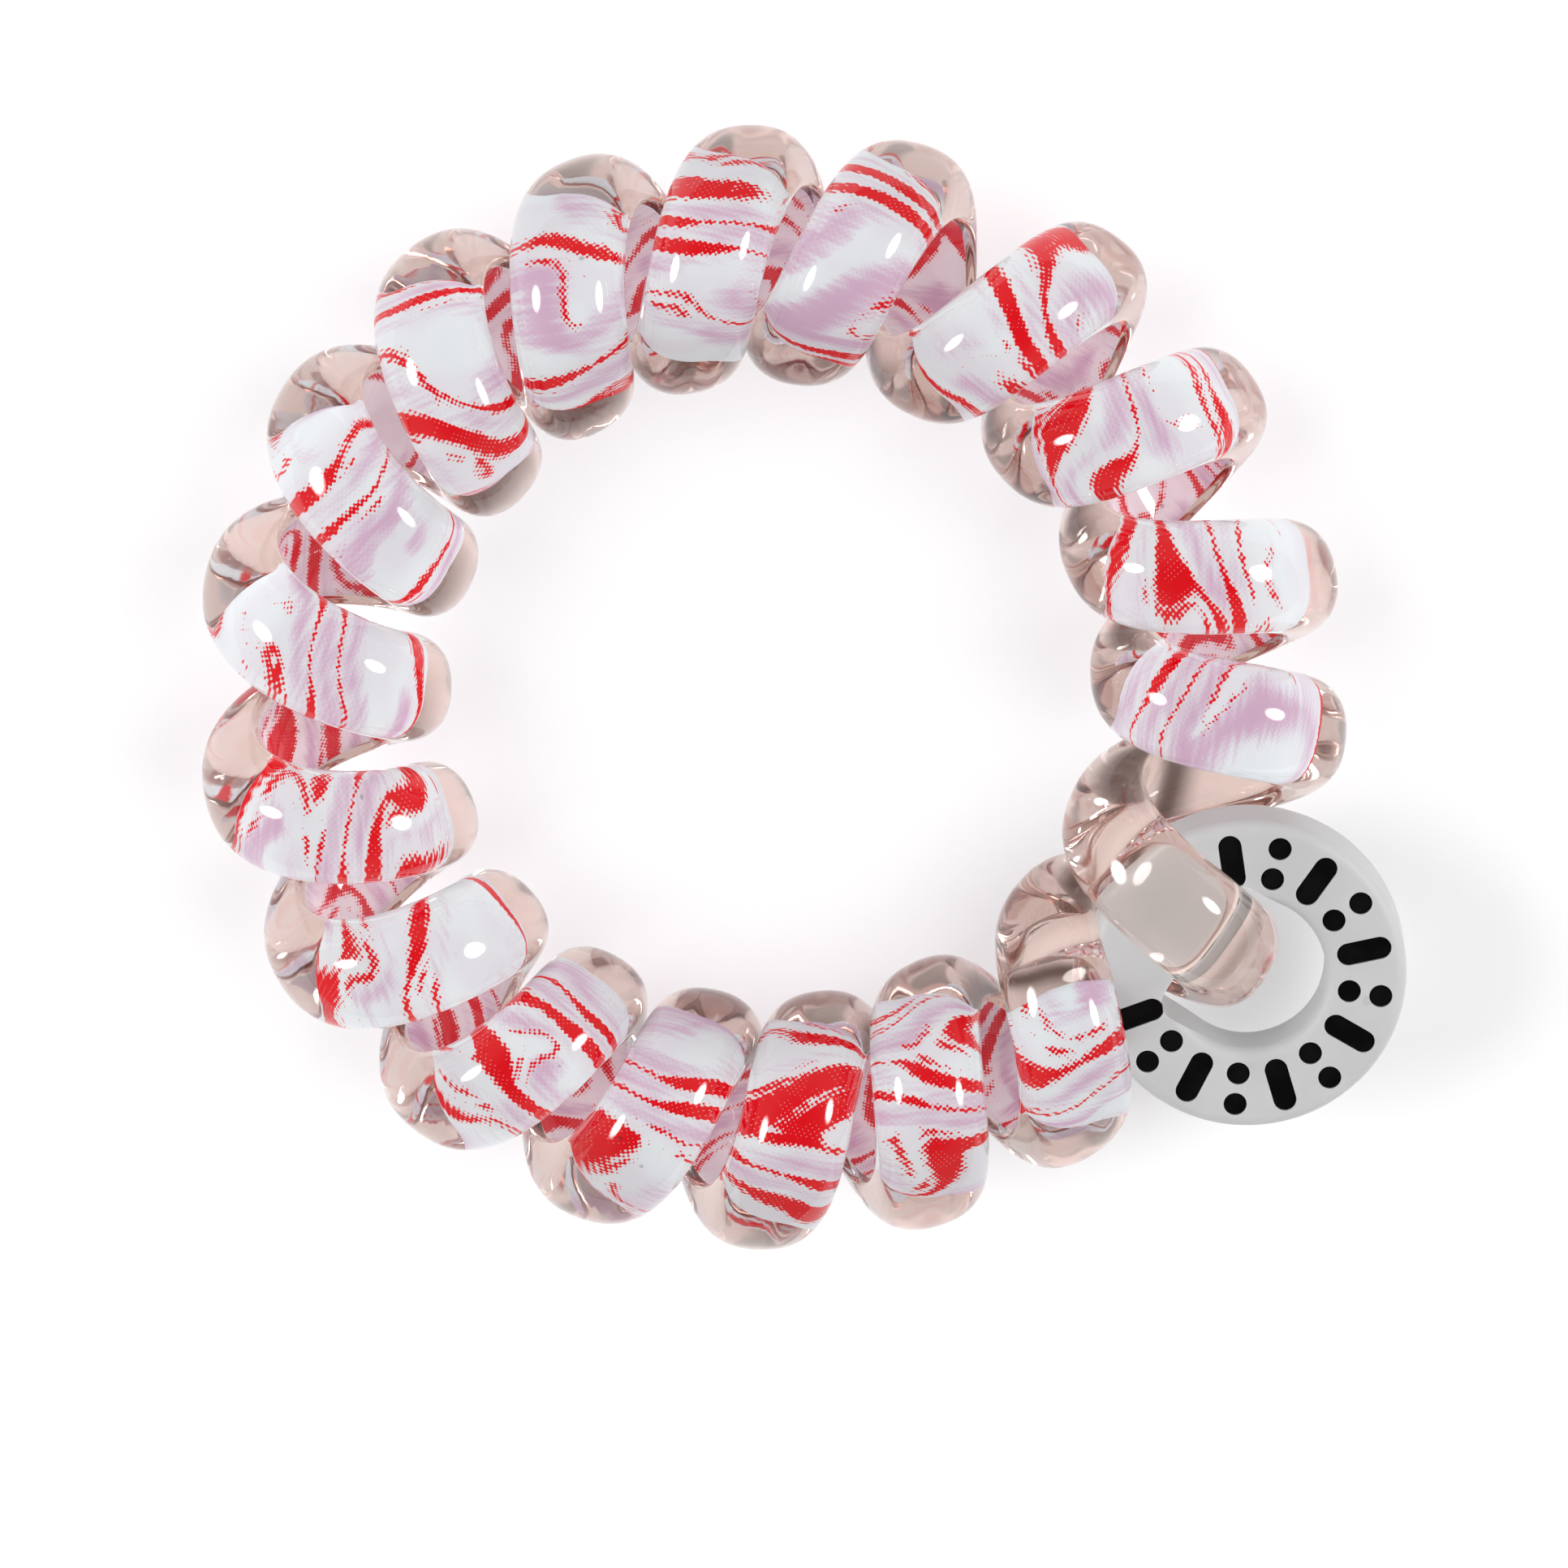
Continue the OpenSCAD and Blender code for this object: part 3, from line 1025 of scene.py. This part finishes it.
@dataclass
class Studio:
    """The pale floor, the soft light boxes, the surroundings and the camera.

    Lengths are in metres, angles in radians and powers in watts. The photograph's
    place is in its own pixels. The surroundings' ramps go by the height of a
    direction, or by the cosine between it and the camera's.
    """

    centre: Vector
    ring_r: float
    tilt: float = math.radians(15)
    photo_side: int = 1932
    pixel: float = 0.0352 * MM
    photo_place: Pair = (950, 852)
    lens: float = 350.0
    sensor: float = 36.0
    clip: Pair = (0.01, 10)
    floor_half: float = 1.5
    box_angle: float = math.radians(54)
    box_distance: float = 0.6
    box_size: float = 0.24
    box_power: float = 5.2
    box_fade: Pair = (0.5, 0.16)
    fill_distance: float = 0.9
    fill_size: float = 0.7
    fill_power: float = 4.65
    sky_glow: Ramp = (0.55, 0.97, 0.6, 0.2)
    matt_glow: float = 0.25
    bent_glow: Ramp = (0.962, 0.992, 0.62, 0.28)
    bounces: tuple = (("max", 10), ("diffuse", 2), ("glossy", 8), ("transmission", 10), ("transparent_max", 16))

    @property
    def back(self) -> Vector:
        """The direction from the tie to the camera."""
        return Vector((0, math.sin(self.tilt), math.cos(self.tilt)))

    @property
    def up(self) -> Vector:
        """The direction of the photograph's upright."""
        return Vector((0, math.cos(self.tilt), -math.sin(self.tilt)))

    def add_camera(self) -> None:
        """Puts the camera where the photograph's was, with the tie at its place in the frame."""
        data = bpy.data.cameras.new("camera")
        data.lens, data.sensor_width = self.lens, self.sensor
        data.clip_start, data.clip_end = self.clip
        distance = self.photo_side * self.pixel * self.lens / self.sensor
        across, down = ((self.photo_side / 2 - place) * self.pixel for place in self.photo_place)
        aim = self.centre + Vector((across, 0, 0)) - down * self.up
        camera = bpy.data.objects.new("camera", data)
        camera.location = aim + distance * self.back
        camera.rotation_euler = (-self.tilt, 0, 0)
        bpy.context.scene.collection.objects.link(camera)
        bpy.context.scene.camera = camera

    def fade_edge(self, data: bpy.types.Light) -> None:
        """Makes a round light fade towards its edge, so that its highlights end softly.

        Args:
            data: The light.
        """
        data.use_nodes = True
        data.node_tree.nodes.clear()
        t = Tree(data.node_tree)
        place = t.add("ShaderNodeNewGeometry").outputs["Parametric"]
        away = t.measure("DISTANCE", place, (0.5, 0.5, 0.0))
        lamp = t.add("ShaderNodeEmission", {"Strength": t.step(away, *self.box_fade)})
        t.join(lamp.outputs[0], t.add("ShaderNodeOutputLight").inputs[0])

    def add_light(self, name: str, place: Vector, size: float, power: float, glints: bool) -> None:
        """Adds a round soft light that faces the tie.

        Args:
            name: The light's name.
            place: Where it stands.
            size: Its diameter.
            power: Its strength.
            glints: True if it shows as highlights, False if it lights matt surfaces.
        """
        data = bpy.data.lights.new(name, "AREA")
        data.shape, data.size, data.energy = "DISK", size, power
        if glints:
            self.fade_edge(data)
        light = bpy.data.objects.new(name, data)
        light.location = place
        light.rotation_euler = (self.centre - place).to_track_quat("-Z", "Y").to_euler()
        light.visible_glossy = glints
        light.visible_transmission = glints
        light.visible_diffuse = not glints
        bpy.context.scene.collection.objects.link(light)

    def add_lights(self) -> None:
        """Adds a small bright box on each side of the camera for the highlights, and a broad one for the rest."""
        for side in Side:
            across = Vector((side.value * math.sin(self.box_angle), 0, 0))
            way = math.cos(self.box_angle) * self.back + across
            box, fill = self.centre + self.box_distance * way, self.centre + self.fill_distance * way
            self.add_light(f"box_{side.name.lower()}", box, self.box_size, self.box_power, True)
            self.add_light(f"fill_{side.name.lower()}", fill, self.fill_size, self.fill_power, False)

    def add_surroundings(self) -> None:
        """Makes the world, which differs by what a ray has met.

        Matt and shiny surfaces see it bright low down and dimmer overhead. Rays
        that the strand has bent see an even grey with a soft dark disc overhead,
        where the camera stands: the dark smudges in the clear turns.
        """
        world = bpy.data.worlds.new("surroundings")
        bpy.context.scene.world = world
        world.use_nodes = True
        world.node_tree.nodes.clear()
        t = Tree(world.node_tree)
        way = t.add("ShaderNodeTexCoord").outputs["Generated"]
        path = t.add("ShaderNodeLightPath")
        sky = t.step(t.parts(way)[2], *self.sky_glow)
        sky = t.total(sky, t.times(path.outputs["Is Diffuse Ray"], self.matt_glow))
        seen = t.step(t.measure("DOT_PRODUCT", way, tuple(self.back)), *self.bent_glow)
        bent = path.outputs["Is Transmission Ray"]
        glow = t.total(t.times(t.math("SUBTRACT", 1.0, bent), sky), t.times(bent, seen))
        tint = t.mix(path.outputs["Is Glossy Ray"], SHADES.white, SHADES.warm)
        background = t.add("ShaderNodeBackground", {"Color": tint, "Strength": glow})
        t.join(background.outputs[0], t.add("ShaderNodeOutputWorld").inputs[0])

    def add_floor(self) -> None:
        """Makes the floor, a flat square at height zero."""
        mesh = bpy.data.meshes.new("floor")
        h = self.floor_half
        mesh.from_pydata([(-h, -h, 0), (h, -h, 0), (h, h, 0), (-h, h, 0)], [], [(0, 1, 2, 3)])
        floor = bpy.data.objects.new("floor", mesh)
        mesh.materials.append(PaleFloor(self.centre, self.ring_r).material())
        bpy.context.scene.collection.objects.link(floor)

    def build(self) -> None:
        """Makes the whole studio, and sets how often light may bounce."""
        self.add_camera()
        self.add_lights()
        self.add_surroundings()
        self.add_floor()
        scene = bpy.context.scene
        scene.view_settings.view_transform = "Standard"
        scene.cycles.use_light_tree = False
        for kind, count in self.bounces:
            setattr(scene.cycles, f"{kind}_bounces", count)


def corners(box: tuple) -> list:
    """Returns a box's two corners as plain lists of numbers."""
    return [list(corner) for corner in box]


def main() -> None:
    """Builds the tie and its studio."""
    logging.basicConfig(level=logging.INFO, format="%(name)s: %(message)s")
    coil = Coil()
    shift = coil.shift()
    centre = Vector((*shift[:2], coil.mid_z))
    Studio(centre, coil.ring_r).build()
    pieces: tuple[tuple[Callable, str], ...] = (
        (ClearStrand(coil).build, "clear_strand"),
        (PrintFilm(coil).build, "print_film"),
    )
    for build, node in pieces:
        piece = build(shift)
        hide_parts(node)
        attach(piece, "root")
        log.info("built %s, %d faces, in place of %s", piece.name, len(piece.data.polygons), node)
    TagRing().dress()


if __name__ == "__main__":
    main()
